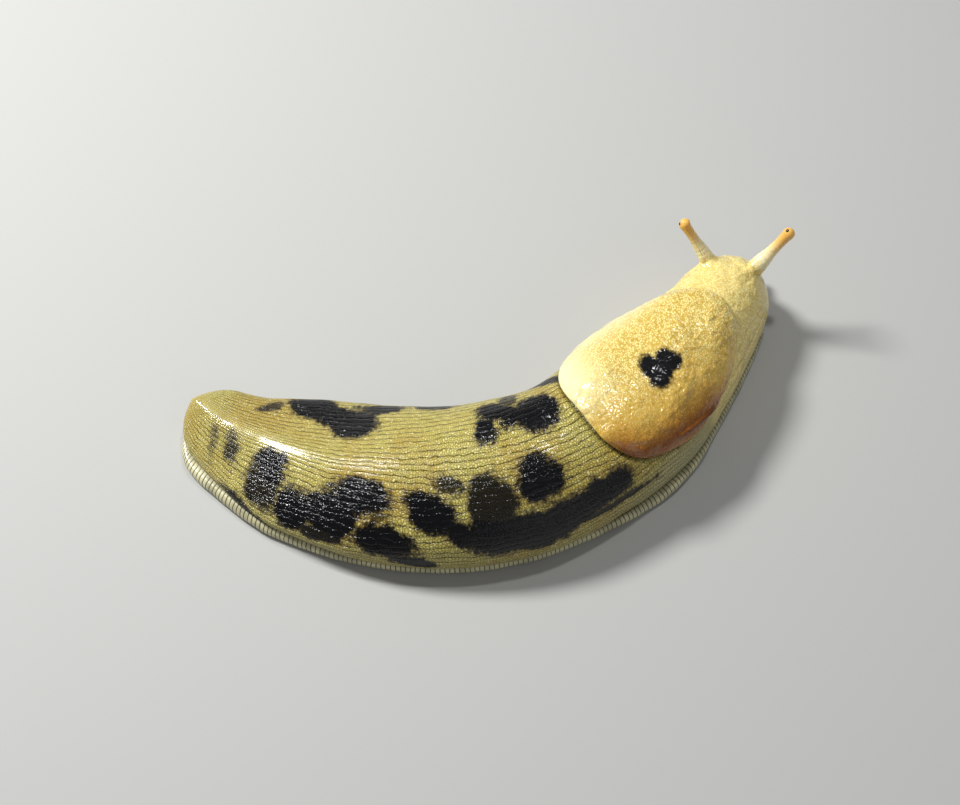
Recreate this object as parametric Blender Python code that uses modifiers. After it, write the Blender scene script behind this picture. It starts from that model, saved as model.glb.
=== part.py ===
"""A banana slug at life size, crawling in a long left-hand curve with its tentacles raised.

Metres, +Z up. The sole lies flat on z = 0, the tail is at -X and the head at +X, and the
origin is under the middle of the whole animal. The body is one soft sack over a flat foot,
so every length of it is cut from the same skin: a rounded section, swept along a curved
midline, pinched to a keel towards the tail. The mantle is a saddle of its own on top.
"""

import math

import bmesh
import bpy
from mathutils import Matrix, Vector

MM = 0.001
GAP = 0.3 * MM  # between pieces that touch

# The midline of the sole, from the tail end to the snout.
LENGTH = 140 * MM
TAIL_END = Vector((-60.7 * MM, 0))
# (distance along the midline in mm, heading in degrees from +X)
HEADING = ((0, -36), (19, -23), (39, -15), (62, 7), (84, 34), (97, 47), (112, 49), (126, 59), (140, 89))

# (distance along the midline in mm, size in mm), without the mantle
HALF_WIDTH = ((0, 6.5), (11, 9.7), (28, 15.1), (49, 17.0), (70, 16.6), (84, 15.6), (98, 15.8),
              (113, 13.1), (126, 10.4), (140, 8.8))
HEIGHT = ((0, 7.6), (11, 8.2), (28, 10.4), (49, 16.0), (73, 19.4), (86, 19.5), (102, 18.6),
          (116, 18.4), (126, 17.8), (140, 16.2))
# How far the body sits to the left of the middle of its foot, which bares the tail's fringe.
LEAN = ((0, 1.7), (11, 0.6), (26, 0.0), (140, 0.0))
# How far the sides of the section are drawn in under the crest: 0 is round, 0.6 a keel.
KEEL = ((0, 0.62), (19, 0.60), (42, 0.34), (70, 0.05), (90, 0.0), (140, 0.0))

TUCK = math.radians(18)  # the flanks curve back in below their widest line
TAIL_ROUND = 7 * MM  # over this length the tail widens to its full section
TAIL_RISE = 2.4 * MM
TAIL_LEVEL = 4.2 * MM  # height at which the tail closes
SNOUT_ROUND = 9 * MM
SNOUT_RISE = 9 * MM
SNOUT_LIFT = 5 * MM  # over this length the underside of the snout leaves the sole
SNOUT_LEVEL = 7.0 * MM  # height at which the snout closes

# The foot is a flat slab with a rounded fringe, seen all round below the flanks.
FOOT_THICK = 2.6 * MM
BODY_FLOOR = FOOT_THICK + GAP
FRINGE = ((0, 0.9), (11, 2.0), (28, 1.4), (52, 0.4), (72, 0.3), (93, 2.0), (106, 1.2), (140, 0.6))
FOOT_TAIL = -1.3 * MM  # the foot starts a little in front of the tail's overhanging tip
FOOT_FRONT = 136.5 * MM  # and stops short of the snout

# Cuts between the lengths of the body, along the midline.
TAIL_CUT = 30 * MM
REAR_CUT = 56 * MM
MIDDLE_CUT = 81 * MM
NECK_CUT = 119 * MM
HEAD_CUT = 127.5 * MM

# The mantle is a saddle whose free edge is a rounded oblong on the skin.
MANTLE_MIDDLE = 104 * MM
MANTLE_REACH = 20 * MM
MANTLE_SPREAD = 0.30  # of the way round the section, each side of the crest
MANTLE_SQUARE = 2.5  # 2 is an oval, more is squarer
MANTLE_EDGE = 0.8 * MM
MANTLE_THICK = 2.0 * MM
MANTLE_LIFT = 0.36 * MM  # clear of the back's flat facets as well as its curve

# The breathing slit, on the right side of the mantle just above its edge.
# (distance along the midline in mm, way round the section from the right sole edge)
SLIT_STATIONS = ((95.0, 0.240), (98.0, 0.236), (101.0, 0.231), (104.0, 0.219), (106.5, 0.205))
SLIT_RADIUS = 0.5 * MM

# Tentacles: (direction in the plan from +X, rise), in degrees, left then right.
TENTACLE_STATION = 134 * MM
TENTACLE_AROUND = 0.14  # of the way round the section, each side of the crest
TENTACLE_AIM = {"left": (150, 51), "right": (24, 52)}
TENTACLE_LENGTH = {"left": 11.5 * MM, "right": 12.3 * MM}
COLLAR_LENGTH = 2.2 * MM
COLLAR_FLARE = 2.8 * MM
ROOT_RADIUS = 1.75 * MM
STALK_RADIUS = 1.12 * MM
BULB_RADIUS = 1.28 * MM
EYE_RADIUS = 0.45 * MM
EYE_SIDE = {"left": (-1.0, -0.35, 0.0), "right": (-0.73, -0.22, 0.64)}  # of the bulb

# The two feelers below them, beside the mouth.
FEELER_STATION = LENGTH - 1.1 * MM
FEELER_AROUND = 0.40
FEELER_SPLAY = 18  # degrees out from straight ahead
FEELER_RISE = -30
FEELER_LENGTH = 3.0 * MM
FEELER_RADIUS = 0.8 * MM
FEELER_COLLAR = 0.7 * MM

# The mouth is a line bent round the snout, over two lobes with a parting between them.
LIP_STATION = LENGTH - 2.4 * MM
LIP_SIDE = 2.3 * MM
LIP_HEIGHT = 5.1 * MM
LIP_SIZE = (2.6 * MM, 2.5 * MM, 1.9 * MM)
MOUTH_BACK = (4.2, 2.8, 1.7, 0.8, 0.2)  # mm back from the snout
MOUTH_AROUND = 0.06
MOUTH_RADIUS = 0.35 * MM

# How finely the surfaces are divided.
MIDLINE_STEPS = 280
RING_STEP = 3.0 * MM
HEAD_STEP = 1.6 * MM
RING_POINTS = 32
MANTLE_POINTS = 48
MANTLE_RINGS = (0.06, 0.2, 0.34, 0.47, 0.59, 0.7, 0.79, 0.87, 0.93, 0.97, 1.0)
TURN_STEPS = 20


def smooth(stations, at):
    """Monotone cubic through (position, value) pairs, held level past both ends."""
    if at <= stations[0][0]:
        return stations[0][1]
    if at >= stations[-1][0]:
        return stations[-1][1]
    slopes = [(b[1] - a[1]) / (b[0] - a[0]) for a, b in zip(stations, stations[1:])]
    tangents = [slopes[0]]
    for before, after in zip(slopes, slopes[1:]):
        turning = before * after <= 0
        tangents.append(0.0 if turning else 2 * before * after / (before + after))
    tangents.append(slopes[-1])
    k = next(i for i in range(len(slopes)) if at <= stations[i + 1][0])
    (x0, y0), (x1, y1) = stations[k], stations[k + 1]
    width = x1 - x0
    t = (at - x0) / width
    return ((2 * t**3 - 3 * t**2 + 1) * y0 + (t**3 - 2 * t**2 + t) * width * tangents[k]
            + (3 * t**2 - 2 * t**3) * y1 + (t**3 - t**2) * width * tangents[k + 1])


def trace_midline():
    """(position on the floor, heading) at every step along the midline."""
    step = LENGTH / MIDLINE_STEPS
    place, line = TAIL_END.copy(), []
    for k in range(MIDLINE_STEPS + 1):
        heading = math.radians(smooth(HEADING, k * step / MM))
        line.append((place.copy(), heading))
        place += step * Vector((math.cos(heading), math.sin(heading)))
    return line


MIDLINE = trace_midline()


def midline(along):
    """Position and heading of the midline, which runs straight on past both ends."""
    at = along / LENGTH * MIDLINE_STEPS
    k = min(max(int(at), 0), MIDLINE_STEPS - 1)
    (start, heading), (end, turned) = MIDLINE[k], MIDLINE[k + 1]
    return start.lerp(end, at - k), heading + (turned - heading) * min(max(at - k, 0), 1)


def rounding(distance, over):
    """0 at an end, rising as a quarter circle to 1."""
    t = min(max(distance / over, 0), 1)
    return math.sqrt(1 - (1 - t) ** 2)


def half_width(along):
    ends = rounding(along, TAIL_ROUND) * rounding(LENGTH - along, SNOUT_ROUND)
    return smooth(HALF_WIDTH, along / MM) * MM * ends


def top(along):
    height = smooth(HEIGHT, along / MM) * MM
    height = TAIL_LEVEL + (height - TAIL_LEVEL) * rounding(along, TAIL_RISE)
    return SNOUT_LEVEL + (height - SNOUT_LEVEL) * rounding(LENGTH - along, SNOUT_RISE)


def bottom(along):
    lifted = 1 - rounding(LENGTH - along, SNOUT_LIFT)
    return BODY_FLOOR + (SNOUT_LEVEL - BODY_FLOOR) * lifted


def across(along, around):
    """Sideways place and height on the section. around is 0 at the right sole edge, 0.5 on
    the crest and 1 at the left sole edge."""
    angle = -TUCK + (math.pi + 2 * TUCK) * around
    pinch = smooth(KEEL, along / MM) * max(math.sin(angle), 0) ** 2
    side = smooth(LEAN, along / MM) * MM - half_width(along) * math.cos(angle) * (1 - pinch)
    rise = (math.sin(angle) + math.sin(TUCK)) / (1 + math.sin(TUCK))
    low, high = bottom(along), top(along)
    return Vector((side, low + (high - low) * rise))


def skin(along, around, lift=0.0):
    """The point on the body's skin, or lift outside it, square to the section."""
    spot = across(along, around)
    if lift:
        slope = across(along, around + 0.002) - across(along, around - 0.002)
        spot += lift * Vector((-slope.y, slope.x)).normalized()
    return place_on(along, spot.x, spot.y)


def place_on(along, side, height):
    """side metres to the left of the midline, height above the floor."""
    place, heading = midline(along)
    return Vector((place.x - math.sin(heading) * side, place.y + math.cos(heading) * side, height))


def spaced(start, end, step):
    count = max(2, round((end - start) / step))
    return [start + (end - start) * k / count for k in range(count + 1)]


def crowded(start, end, step):
    """Like spaced, but closer and closer towards end, where the body rounds off."""
    count = max(2, round(1.4 * abs(end - start) / step))
    return [start + (end - start) * math.sin(math.pi / 2 * k / count) for k in range(count + 1)]


def material(name, color, roughness):
    made = bpy.data.materials.new(name)
    made.use_nodes = True
    shader = made.node_tree.nodes["Principled BSDF"]
    shader.inputs["Base Color"].default_value = (*color, 1)
    shader.inputs["Roughness"].default_value = roughness
    made.diffuse_color = (*color, 1)
    return made


def finish(bm, name, look):
    bmesh.ops.recalc_face_normals(bm, faces=bm.faces)
    mesh = bpy.data.meshes.new(name)
    bm.to_mesh(mesh)
    bm.free()
    mesh.materials.append(look)
    mesh.shade_smooth()
    mesh.set_sharp_from_angle(angle=math.radians(50))
    made = bpy.data.objects.new(name, mesh)
    slug.objects.link(made)
    return made


def loft(name, rings, look):
    """A closed body through rings of like count, with a flat face on the first and last."""
    bm = bmesh.new()
    loops = [[bm.verts.new(point) for point in ring] for ring in rings]
    for near, far in zip(loops, loops[1:]):
        for k in range(len(near)):
            bm.faces.new((near[k - 1], near[k], far[k], far[k - 1]))
    bm.faces.new(loops[0])
    bm.faces.new(loops[-1])
    return finish(bm, name, look)


def body_ring(along):
    return [skin(along, k / (RING_POINTS - 1)) for k in range(RING_POINTS)]


def body_length(name, start, end):
    stations = spaced(start + GAP / 2, end - GAP / 2, RING_STEP)
    return loft(name, [body_ring(along) for along in stations], back_skin)


def tail():
    stations = crowded(TAIL_CUT - GAP / 2, 0.05 * MM, RING_STEP)
    return loft("tail", [body_ring(along) for along in stations], back_skin)


def foot_ring(along):
    """Flat above and below, with a rounded rim that stands out as the fringe."""
    round_ends = rounding(along + FOOT_TAIL, TAIL_ROUND) * rounding(FOOT_FRONT - along, TAIL_ROUND)
    sole = smooth(HALF_WIDTH, along / MM) * math.cos(TUCK) + smooth(FRINGE, along / MM)
    reach = max(sole * MM * round_ends, 0.5 * MM)
    shrink = min(1, reach / (3 * MM))
    rim = ((1.1, 0), (0.35, 0.3), (0, 1.0), (0.05, 1.7), (0.5, 2.35), (1.3, 2.6))
    right = [(reach - shrink * inset * MM, height * MM) for inset, height in rim]
    outline = right + [(-side, height) for side, height in reversed(right)]
    return [place_on(along, side, height) for side, height in outline]


def foot_length(name, start, end):
    stations = spaced(start + GAP / 2, end - GAP / 2, RING_STEP)
    return loft(name, [foot_ring(along) for along in stations], sole_skin)


def foot_end(name, cut, end):
    inward = GAP / 2 if end > cut else -GAP / 2
    stations = crowded(cut + inward, end, RING_STEP)
    return loft(name, [foot_ring(along) for along in stations], sole_skin)


def mantle_spot(out, turn):
    """(along, around) of a spot on the mantle: out is 0 in its middle and 1 on its edge."""
    power = 2 / MANTLE_SQUARE
    lengthwise = math.copysign(abs(math.cos(turn)) ** power, math.cos(turn))
    sideways = math.copysign(abs(math.sin(turn)) ** power, math.sin(turn))
    return MANTLE_MIDDLE + out * MANTLE_REACH * lengthwise, 0.5 + out * MANTLE_SPREAD * sideways


def mantle_thickness(out):
    return MANTLE_EDGE + (MANTLE_THICK - MANTLE_EDGE) * rounding(1 - out, 0.55)


def mantle_ring(out, lift):
    turns = [2 * math.pi * k / MANTLE_POINTS for k in range(MANTLE_POINTS)]
    return [skin(*mantle_spot(out, turn), lift) for turn in turns]


def mantle():
    outer = [mantle_ring(out, MANTLE_LIFT + mantle_thickness(out)) for out in MANTLE_RINGS]
    inner = [mantle_ring(out, MANTLE_LIFT) for out in reversed(MANTLE_RINGS)]
    return loft("mantle", outer + inner, mantle_skin)


def turned(name, profile, base, aim, look):
    """A profile of (radius, height) from its top down to its foot, turned about aim."""
    mesh = bpy.data.meshes.new(name)
    edges = [(k, k + 1) for k in range(len(profile) - 1)]
    mesh.from_pydata([(radius, 0, height) for radius, height in profile], edges, [])
    mesh.materials.append(look)
    made = bpy.data.objects.new(name, mesh)
    slug.objects.link(made)
    made.matrix_world = Matrix.Translation(base) @ aim.to_track_quat("Z", "Y").to_matrix().to_4x4()
    turn = made.modifiers.new("Turn", "SCREW")
    turn.steps = turn.render_steps = TURN_STEPS
    turn.use_merge_vertices = True
    turn.merge_threshold = 0.00001
    return made


def ball(name, middle, sizes, heading, look, steps=20):
    bm = bmesh.new()
    bmesh.ops.create_uvsphere(bm, u_segments=steps, v_segments=steps // 2, radius=1)
    turn = Matrix.Rotation(heading, 4, "Z") @ Matrix.Diagonal((*sizes, 1))
    bmesh.ops.transform(bm, matrix=Matrix.Translation(middle) @ turn, verts=bm.verts)
    return finish(bm, name, look)


def groove(name, points, radius):
    """A round cutter along points, as a closed mesh."""
    curve = bpy.data.curves.new(name, "CURVE")
    curve.dimensions = "3D"
    curve.bevel_depth = radius
    curve.bevel_resolution = 2
    curve.use_fill_caps = True
    run = curve.splines.new("POLY")
    run.points.add(len(points) - 1)
    for knot, point in zip(run.points, points):
        knot.co = (*point, 1)
    guide = bpy.data.objects.new(name, curve)
    cutters.objects.link(guide)
    made = baked(guide, cutters)
    bm = bmesh.new()
    bm.from_mesh(made.data)
    bmesh.ops.remove_doubles(bm, verts=bm.verts, dist=0.00001)
    bmesh.ops.recalc_face_normals(bm, faces=bm.faces)
    bm.to_mesh(made.data)
    bm.free()
    return made


def baked(source, into):
    """The object as its modifiers leave it, as a plain mesh that takes its place."""
    bpy.context.view_layer.update()
    graph = bpy.context.evaluated_depsgraph_get()
    mesh = bpy.data.meshes.new_from_object(source.evaluated_get(graph))
    name, place = source.name, source.matrix_world.copy()
    bpy.data.objects.remove(source)
    made = bpy.data.objects.new(name, mesh)
    made.matrix_world = place
    into.objects.link(made)
    return made


def hide(cutter):
    cutter.hide_render = True
    cutter.display_type = "WIRE"


def cut(body, cutter):
    hide(cutter)
    bite = body.modifiers.new(cutter.name, "BOOLEAN")
    bite.object = cutter
    bite.operation = "DIFFERENCE"


def fused(body, pieces):
    """body with the pieces joined on, the pieces used up."""
    joins = bpy.data.collections.new(body.name + "_pieces")
    for piece in pieces:
        solid = baked(piece, joins)
        solid.data.materials.clear()
        solid.data.materials.append(body.data.materials[0])
    bpy.context.scene.collection.children.link(joins)
    join = body.modifiers.new("Join", "BOOLEAN")
    join.operation = "UNION"
    join.operand_type = "COLLECTION"
    join.collection = joins
    made = baked(body, slug)
    for piece in list(joins.objects):
        bpy.data.objects.remove(piece)
    bpy.data.collections.remove(joins)
    return made


def side_of(name):
    return 1 if name == "left" else -1


def aimed(plan, rise):
    plan, rise = math.radians(plan), math.radians(rise)
    return Vector((math.cos(plan) * math.cos(rise), math.sin(plan) * math.cos(rise), math.sin(rise)))


def tentacle_root(name):
    """(the middle of the root on the head's skin, the way the tentacle points)"""
    around = 0.5 + side_of(name) * TENTACLE_AROUND
    return skin(TENTACLE_STATION, around), aimed(*TENTACLE_AIM[name])


def feeler_root(name):
    heading = math.degrees(midline(FEELER_STATION)[1])
    around = 0.5 + side_of(name) * FEELER_AROUND
    return skin(FEELER_STATION, around), aimed(heading + side_of(name) * FEELER_SPLAY, FEELER_RISE)


def collar(name, root, aim, flare, radius, length, sunk):
    """The foot of a tentacle: flared where it grows from the head, flat on top."""
    waist = radius + 0.3 * (flare - radius)
    profile = ((0, length), (radius, length), (waist, 0.45 * length), (flare, 0),
               (1.25 * flare, -sunk), (0, -sunk))
    return turned(name, profile, root, aim, back_skin)


def head():
    stations = crowded(HEAD_CUT + GAP / 2, LENGTH - 0.04 * MM, HEAD_STEP)
    body = loft("head", [body_ring(along) for along in stations], back_skin)
    pieces = []
    for name in ("left", "right"):
        root, aim = tentacle_root(name)
        pieces.append(collar("collar_" + name, root, aim, COLLAR_FLARE, ROOT_RADIUS,
                             COLLAR_LENGTH, 2.0 * MM))
        root, aim = feeler_root(name)
        pieces.append(collar("feeler_collar_" + name, root, aim, 1.7 * FEELER_RADIUS,
                             FEELER_RADIUS, FEELER_COLLAR, 1.5 * MM))
        lobe = place_on(LIP_STATION, side_of(name) * LIP_SIDE, LIP_HEIGHT)
        pieces.append(ball("lip_" + name, lobe, LIP_SIZE, midline(LIP_STATION)[1], back_skin))
    body = fused(body, pieces)
    line = [skin(LENGTH - back * MM, MOUTH_AROUND) for back in MOUTH_BACK]
    line += [place_on(LENGTH, 0, SNOUT_LEVEL - 0.4 * MM)]
    line += [skin(LENGTH - back * MM, 1 - MOUTH_AROUND) for back in reversed(MOUTH_BACK)]
    cut(body, groove("mouth_line", line, MOUTH_RADIUS))
    parting = [place_on(LENGTH - 0.6 * MM, 0, SNOUT_LEVEL - 0.8 * MM),
               place_on(LENGTH - 1.2 * MM, 0, LIP_HEIGHT), place_on(LENGTH - 3.0 * MM, 0, 2.6 * MM)]
    cut(body, groove("lip_parting", parting, MOUTH_RADIUS))
    return body


def tentacle(name):
    root, aim = tentacle_root(name)
    start = COLLAR_LENGTH + GAP
    tip = TENTACLE_LENGTH[name] - start
    bulb = tip - BULB_RADIUS
    dome = [math.radians(90 - 15 * k) for k in range(7)]
    profile = [(BULB_RADIUS * math.cos(turn), bulb + BULB_RADIUS * math.sin(turn)) for turn in dome]
    profile[0] = (0, tip)
    profile += [(1.02 * STALK_RADIUS, bulb - 1.3 * MM), (STALK_RADIUS, 0.62 * tip),
                (1.1 * STALK_RADIUS, 0.34 * tip), (0.93 * ROOT_RADIUS, 0.1 * tip),
                (ROOT_RADIUS, 0), (0, 0)]
    stalk = turned("tentacle_" + name, profile, root + aim * start, aim, stalk_skin)
    look_out = (0.6 * aim + Vector(EYE_SIDE[name]).normalized()).normalized()
    centre = root + aim * (start + bulb) + look_out * (BULB_RADIUS - 0.35 * MM)
    pocket = ball("pocket_" + name, centre, [EYE_RADIUS + GAP] * 3, 0, eye_black)
    slug.objects.unlink(pocket)
    cutters.objects.link(pocket)
    cut(stalk, pocket)
    return ball("eye_" + name, centre, [EYE_RADIUS] * 3, 0, eye_black, 12)


def feeler(name):
    root, aim = feeler_root(name)
    start = FEELER_COLLAR + GAP
    tip = FEELER_LENGTH - start
    profile = [(0, tip)]
    profile += [(FEELER_RADIUS * math.cos(turn), tip - FEELER_RADIUS * (1 - math.sin(turn)))
                for turn in [math.radians(90 - 18 * k) for k in range(1, 6)]]
    profile += [(0.85 * FEELER_RADIUS, 0.5 * tip), (FEELER_RADIUS, 0), (0, 0)]
    return turned("feeler_" + name, profile, root + aim * start, aim, stalk_skin)


for obj in list(bpy.data.objects):
    bpy.data.objects.remove(obj)
slug = bpy.data.collections.new("banana_slug")
cutters = bpy.data.collections.new("cutters")
for collection in (slug, cutters):
    bpy.context.scene.collection.children.link(collection)

back_skin = material("back_skin", (0.42, 0.33, 0.08), 0.35)
mantle_skin = material("mantle_skin", (0.60, 0.43, 0.13), 0.4)
sole_skin = material("sole_skin", (0.66, 0.56, 0.30), 0.4)
stalk_skin = material("stalk_skin", (0.70, 0.50, 0.20), 0.3)
eye_black = material("eye_black", (0.01, 0.01, 0.01), 0.1)

tail()
body_length("back_rear", TAIL_CUT, REAR_CUT)
body_length("back_middle", REAR_CUT, MIDDLE_CUT)
body_length("back_front", MIDDLE_CUT, NECK_CUT)
body_length("neck", NECK_CUT, HEAD_CUT)
head()

foot_end("foot_tail", TAIL_CUT, 0.05 * MM - FOOT_TAIL)
foot_length("foot_rear", TAIL_CUT, REAR_CUT)
foot_length("foot_middle", REAR_CUT, MIDDLE_CUT)
foot_length("foot_front", MIDDLE_CUT, NECK_CUT)
foot_end("foot_neck", NECK_CUT, FOOT_FRONT - 0.05 * MM)

saddle = mantle()
slit = [skin(along * MM, around, MANTLE_LIFT + MANTLE_EDGE + 0.8 * MM) for along, around in SLIT_STATIONS]
cut(saddle, groove("breathing_slit", slit, SLIT_RADIUS))

for side in ("left", "right"):
    tentacle(side)
    feeler(side)
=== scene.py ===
# %% [markdown]
# # A banana slug, finished from its solids
# The solids are smooth lengths of back, neck, head, mantle and foot, parted by thin cuts. Here
# the animal gets its wet, furrowed and granular skin. The skin could be made by sculpting over
# the solids by hand. It is worked out from a few measures instead, the same ones that shaped
# the solids, so every furrow and spot is set by its place along and round the body.

# %% Load the solids
import math

import bmesh
import bpy
import numpy as np
from mathutils import Matrix, Vector, noise


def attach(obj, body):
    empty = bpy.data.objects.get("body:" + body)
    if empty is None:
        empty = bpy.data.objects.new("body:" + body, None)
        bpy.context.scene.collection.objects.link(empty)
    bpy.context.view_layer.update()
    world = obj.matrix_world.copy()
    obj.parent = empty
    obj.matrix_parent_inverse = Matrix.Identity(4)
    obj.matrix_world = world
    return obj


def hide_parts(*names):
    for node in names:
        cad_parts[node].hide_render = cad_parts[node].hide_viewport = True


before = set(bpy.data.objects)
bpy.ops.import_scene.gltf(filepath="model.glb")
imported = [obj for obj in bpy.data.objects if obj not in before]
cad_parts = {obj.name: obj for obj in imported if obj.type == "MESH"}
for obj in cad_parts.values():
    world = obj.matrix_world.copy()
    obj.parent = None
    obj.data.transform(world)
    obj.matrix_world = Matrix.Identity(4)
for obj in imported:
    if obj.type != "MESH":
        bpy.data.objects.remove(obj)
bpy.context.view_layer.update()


# %% [markdown]
# ## The measures of the body
# A slug is a soft sack over a flat foot. Its shape is told by a line on the floor, which bends to
# the left, and by a width and a height at each station on that line. A table of every ring would
# say the same with far more numbers. A few values joined by a smooth curve are easier to change.

# %% The body's measures, in millimetres and degrees
MM = 0.001  # pieces are shaped in millimetres, and brought to metres when they are finished
LENGTH = 140.0
TAIL_END = (-60.7, 0.0)
HEADING = ((0, -36), (19, -23), (39, -15), (62, 7), (84, 34), (97, 47), (112, 49), (126, 59), (140, 89))
HALF_WIDTH = ((0, 6.5), (11, 9.7), (28, 15.1), (49, 17.0), (70, 16.6), (84, 15.6), (98, 15.8),
              (113, 13.1), (126, 10.4), (140, 8.8))
HEIGHT = ((0, 7.6), (11, 8.2), (28, 10.4), (49, 16.0), (73, 19.4), (86, 19.5), (102, 18.6),
          (116, 18.4), (126, 17.8), (140, 16.2))
KEEL = ((0, 0.62), (19, 0.60), (42, 0.34), (70, 0.05), (90, 0.0), (140, 0.0))
LEAN = ((0, 1.7), (11, 0.6), (26, 0.0), (140, 0.0))  # of the tail, to the left of its foot
TUCK = math.radians(18)
TAIL_ROUND, TAIL_RISE, TAIL_LEVEL = 7.0, 2.4, 4.2
SNOUT_ROUND, SNOUT_RISE, SNOUT_LIFT, SNOUT_LEVEL = 9.0, 9.0, 5.0, 7.0
FOOT_THICK = 2.6
BODY_FLOOR = 2.1  # the skin reaches a little into the foot, so no light shows between them


def smooth(stations, at):
    """Monotone cubic through (position, value) pairs, for a whole array of positions."""
    x, y = np.array(stations, float).T
    slope = np.diff(y) / np.diff(x)
    product, total = slope[:-1] * slope[1:], slope[:-1] + slope[1:]
    inner = np.where(product > 0, 2 * product / np.where(total == 0, 1, total), 0)
    tangent = np.concatenate([slope[:1], inner, slope[-1:]])
    at = np.clip(at, x[0], x[-1])
    k = np.clip(np.searchsorted(x, at) - 1, 0, len(slope) - 1)
    width = x[k + 1] - x[k]
    t = (at - x[k]) / width
    return ((2 * t**3 - 3 * t**2 + 1) * y[k] + (t**3 - 2 * t**2 + t) * width * tangent[k]
            + (3 * t**2 - 2 * t**3) * y[k + 1] + (t**3 - t**2) * width * tangent[k + 1])


def step_up(value, low, high):
    """0 below low, 1 above high, with a smooth rise between."""
    t = np.clip((value - low) / (high - low), 0, 1)
    return t * t * (3 - 2 * t)


def rounding(distance, over):
    """0 at an end, rising as a quarter circle to 1."""
    t = np.clip(distance / over, 0, 1)
    return np.sqrt(1 - (1 - t) ** 2)


MIDLINE_STEPS = 280
line_at = np.linspace(0, LENGTH, MIDLINE_STEPS + 1)
line_heading = np.radians(smooth(HEADING, line_at))
stride = LENGTH / MIDLINE_STEPS
line_x = TAIL_END[0] + stride * np.concatenate([[0], np.cumsum(np.cos(line_heading[:-1]))])
line_y = TAIL_END[1] + stride * np.concatenate([[0], np.cumsum(np.sin(line_heading[:-1]))])
print(f"the midline ends at {line_x[-1]:.1f}, {line_y[-1]:.1f} mm")

# %% [markdown]
# ## From a place on the skin to a point in space
# Each place on the skin has two numbers: how far it lies along the midline, and its way round the
# section, from 0 at the right edge of the sole over the crest at 0.5 to 1 at the left edge. All
# shapes and markings below use these two numbers, so they follow the body round its bend.

# %% Sections and skin
SIDE_STEP = 0.002  # of the way round, to read the slope of the section


def place_on(along, side, height):
    """side to the left of the midline, at a height above the floor, as rows of x, y, z."""
    heading = np.interp(along, line_at, line_heading)
    past = np.maximum(along - LENGTH, 0) + np.minimum(along, 0)
    x = np.interp(along, line_at, line_x) + past * np.cos(heading) - side * np.sin(heading)
    y = np.interp(along, line_at, line_y) + past * np.sin(heading) + side * np.cos(heading)
    return np.stack(np.broadcast_arrays(x, y, height), -1)


def across(along, around):
    """Sideways place and height on the section."""
    angle = -TUCK + (np.pi + 2 * TUCK) * around
    pinch = smooth(KEEL, along) * np.maximum(np.sin(angle), 0) ** 2
    half = smooth(HALF_WIDTH, along) * rounding(along, TAIL_ROUND)
    half = half * rounding(LENGTH - along, SNOUT_ROUND)
    high = TAIL_LEVEL + (smooth(HEIGHT, along) - TAIL_LEVEL) * rounding(along, TAIL_RISE)
    high = SNOUT_LEVEL + (high - SNOUT_LEVEL) * rounding(LENGTH - along, SNOUT_RISE)
    low = SNOUT_LEVEL + (BODY_FLOOR - SNOUT_LEVEL) * rounding(LENGTH - along, SNOUT_LIFT)
    rise = (np.sin(angle) + math.sin(TUCK)) / (1 + math.sin(TUCK))
    return smooth(LEAN, along) - half * np.cos(angle) * (1 - pinch), low + (high - low) * rise


def skin(along, around, lift=0.0):
    """Points on the skin, or lift outside it, square to the section."""
    along, around = np.broadcast_arrays(np.asarray(along, float), np.asarray(around, float))
    side, height = across(along, around)
    ahead, behind = across(along, around + SIDE_STEP), across(along, around - SIDE_STEP)
    slope = np.stack([ahead[0] - behind[0], ahead[1] - behind[1]])
    slope = slope / np.maximum(np.hypot(*slope), 1e-9)
    return place_on(along, side - lift * slope[1], height + lift * slope[0])


def run_length(points):
    """Distance from the first point to each point of a line."""
    return np.concatenate([[0], np.cumsum(np.linalg.norm(np.diff(points, axis=0), axis=1))])


girth_at = np.linspace(0.5, LENGTH - 0.5, 60)
girths = [run_length(skin(along, np.linspace(0, 1, 90)))[-1] for along in girth_at]


def girth(along):
    """Length over the back from one edge of the sole to the other."""
    return np.interp(along, girth_at, girths)


print(f"the back measures {girth(60.0):.1f} mm from edge to edge at its middle")

# %% [markdown]
# ## Numbers kept on the points
# A mesh can keep numbers on its points, such as how far along the body each one lies. They could
# be held in lists beside the mesh, but a list loses its order when points are merged or added.
# Kept on the points, the numbers go where the points go, and the materials can read them too.

# %% Ways to write and read a mesh
MERGE_REACH = 0.0005


def carry(bm, **numbers):
    """Keeps each array of numbers on the mesh's points, under its own name."""
    for name, values in numbers.items():
        layer = bm.verts.layers.float.get(name) or bm.verts.layers.float.new(name)
        for vert, value in zip(bm.verts, values):
            vert[layer] = value


def carried(bm, *names):
    """The numbers kept under each name, as arrays."""
    layers = bm.verts.layers.float
    return [np.array([v[layers[name]] for v in bm.verts]) for name in names]


def forget(bm, *names):
    for name in names:
        bm.verts.layers.float.remove(bm.verts.layers.float[name])


def read_points(bm):
    """Where the points are, and which way the skin faces there."""
    bm.normal_update()
    return np.array([v.co for v in bm.verts]), np.array([v.normal for v in bm.verts])


def move_points(bm, points):
    for vert, point in zip(bm.verts, points):
        vert.co = point


def grid_step(coordinate, steps):
    """Which whole step of a flat grid from -1 to 1 a coordinate is."""
    return np.rint((coordinate + 1) / 2 * steps).astype(int)


def close_up(bm):
    """Merges points that lie together, and turns all faces outwards."""
    bmesh.ops.remove_doubles(bm, verts=bm.verts, dist=MERGE_REACH)
    bmesh.ops.recalc_face_normals(bm, faces=bm.faces)


def tell(name, bm):
    open_edges = sum(not e.is_manifold for e in bm.edges)
    print(f"{name} has {len(bm.faces)} faces and {open_edges} open edges")


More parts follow.
